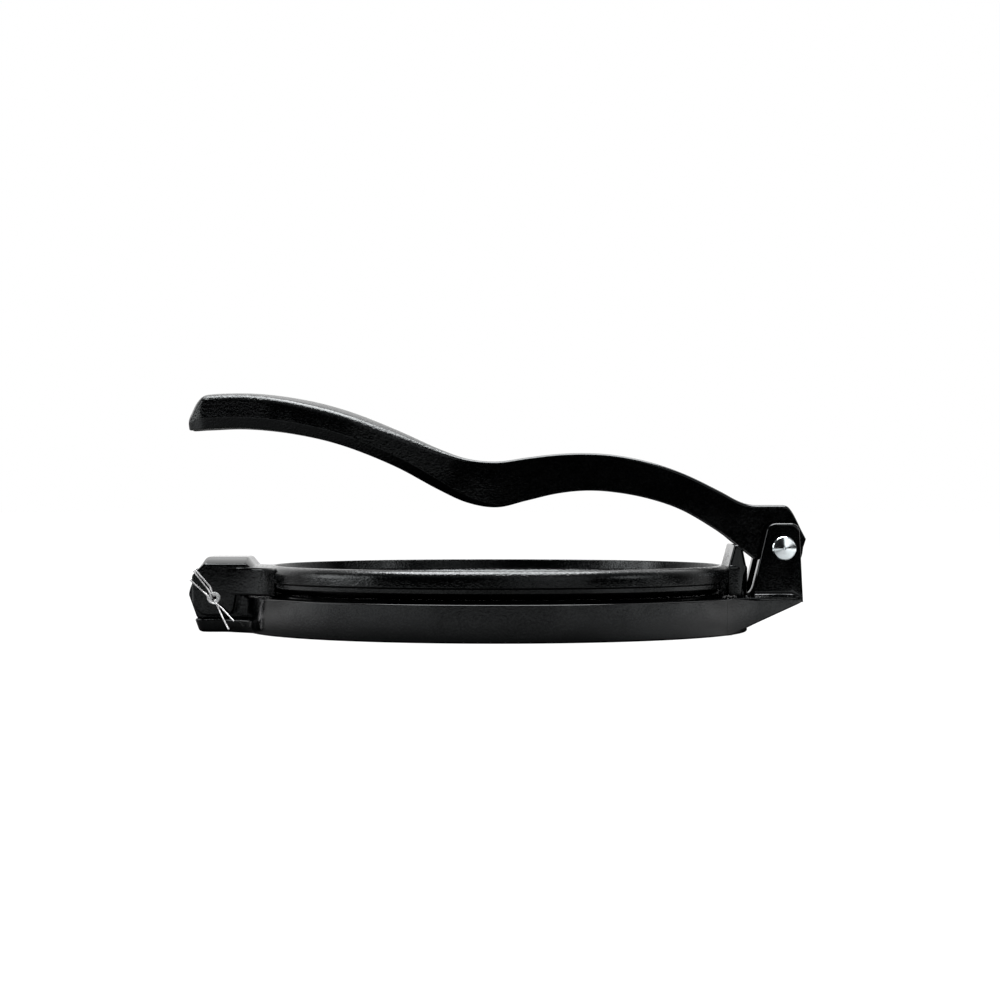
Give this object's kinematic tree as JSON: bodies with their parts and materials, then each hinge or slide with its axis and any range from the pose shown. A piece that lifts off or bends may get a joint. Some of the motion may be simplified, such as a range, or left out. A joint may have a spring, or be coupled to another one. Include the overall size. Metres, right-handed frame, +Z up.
{
  "type": "tortilla press",
  "caption": "Cast-iron tortilla press: hinged round plates, closed, with a curved lever that pivots in ears and presses on a ridge.",
  "frame": {"origin": "centre of the round base on the worktop, which is also the centre of the underside of the closed press's box", "axes": "+Z up, +X from the plates' hinge towards the lever's pivot, +Y across the press, away from the lever pin's domed head"},
  "size_m": [0.25, 0.203, 0.0963],
  "materials": {
    "black_iron": "glossy black, lightly pebbled casting skin",
    "zinc_steel": "bright zinc plating",
    "tie_steel": "bright galvanised wire"
  },
  "bodies": {
    "stand": {"base": "black_iron", "lever_pin": "zinc_steel", "lever_pin_washer": "zinc_steel"},
    "upper_plate": {"top_plate": "black_iron", "hinge_pin": "zinc_steel", "tie_wire": "tie_steel"},
    "handle": {"lever": "black_iron"}
  },
  "joints": [
    {"name": "lever_pivot", "type": "hinge", "parent": "stand", "child": "handle", "pos_m": [0.1152, 0, 0.0334], "axis": [0, 1, 0], "range_deg": [0, 170]},
    {"name": "plate_hinge", "type": "hinge", "parent": "stand", "child": "upper_plate", "pos_m": [-0.1131, 0, 0.0136], "axis": [0, -1, 0], "range_deg": [0, 14.5]}
  ],
  "couplings": [
    {"joint": "plate_hinge", "follows": "lever_pivot", "ratio": 0.083333}
  ]
}
